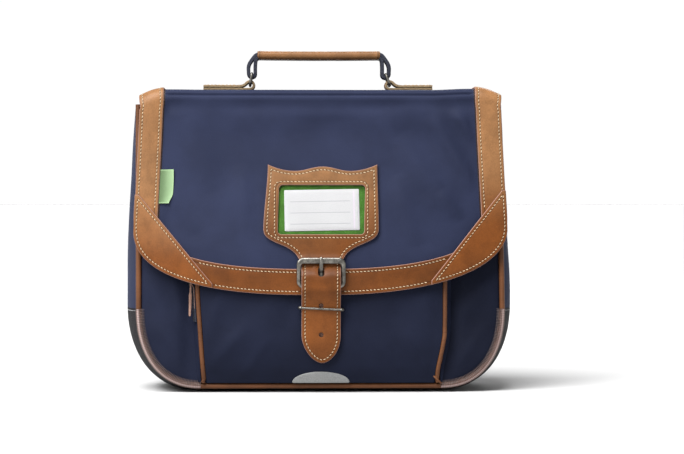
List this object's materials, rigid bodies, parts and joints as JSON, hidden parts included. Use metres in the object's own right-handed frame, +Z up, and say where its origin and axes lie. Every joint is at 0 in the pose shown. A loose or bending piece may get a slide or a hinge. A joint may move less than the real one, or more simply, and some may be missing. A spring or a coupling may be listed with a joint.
{
  "type": "school satchel backpack",
  "caption": "Stiff cloth school satchel worn on the back, with a leather-edged flap, a buckled closing strap below a name window, a front pocket, a top handle and shoulder straps",
  "frame": {"origin": "The middle of the bag's footprint on the surface that it stands on.", "axes": "+Z is up, +X is to the right of someone facing the flap, and the flap and buckle face -Y."},
  "size_m": [0.345, 0.1792, 0.305],
  "materials": {
    "navy_cloth": "tightly woven navy nylon with a faint sheen",
    "wear_cloth": "coarse black coated weave",
    "tan_leather": "smooth vegetable-tanned tan leather with cut edges",
    "suede_leather": "tan leather that shows its fibrous cut edge",
    "corner_cord": "pinkish-grey corded binding with cross stitches",
    "reflective_film": "grey reflective film",
    "zip_tape": "dark zip tape and teeth",
    "antique_nickel": "darkened nickel",
    "tag_ribbon": "green woven ribbon",
    "green_card": "green printed card",
    "white_card": "white card with ruled lines",
    "clear_film": "thin clear film over the card",
    "webbing": "grey-navy woven webbing"
  },
  "bodies": {
    "root": {"front_panel": "navy_cloth", "back_panel": "navy_cloth", "side_gusset_left": "navy_cloth", "side_gusset_right": "navy_cloth", "base_gusset": "wear_cloth", "bottom_piping": "tan_leather", "side_piping_left": "tan_leather", "side_piping_right": "tan_leather", "back_piping": "tan_leather", "corner_piping_left": "corner_cord", "corner_piping_right": "corner_cord", "pocket_panel": "navy_cloth", "pocket_gusset_left": "navy_cloth", "pocket_gusset_right": "navy_cloth", "pocket_piping_left": "tan_leather", "pocket_piping_right": "tan_leather", "reflector": "reflective_film", "zip": "zip_tape", "zip_slider": "antique_nickel", "zip_pull": "tan_leather", "flap_panel": "navy_cloth", "bottom_band": "tan_leather", "side_band_left": "tan_leather", "side_band_right": "tan_leather", "corner_patch_left": "tan_leather", "corner_patch_right": "tan_leather", "side_tag": "tag_ribbon", "shield_strap": "tan_leather", "card_frame": "green_card", "name_card": "white_card", "card_film": "clear_film", "buckle_frame": "antique_nickel", "buckle_prong": "antique_nickel", "keeper": "antique_nickel", "chape": "tan_leather", "handle_grip": "tan_leather", "handle_tab_left": "suede_leather", "handle_tab_right": "suede_leather", "handle_ring_left": "antique_nickel", "handle_ring_right": "antique_nickel", "handle_web_left": "webbing", "handle_web_right": "webbing", "strap_yoke": "tan_leather", "shoulder_strap_left": "navy_cloth", "shoulder_strap_right": "navy_cloth", "strap_adjuster_left": "antique_nickel", "strap_adjuster_right": "antique_nickel", "strap_webbing_left": "webbing", "strap_webbing_right": "webbing", "strap_anchor_left": "tan_leather", "strap_anchor_right": "tan_leather"}
  },
  "joints": []
}
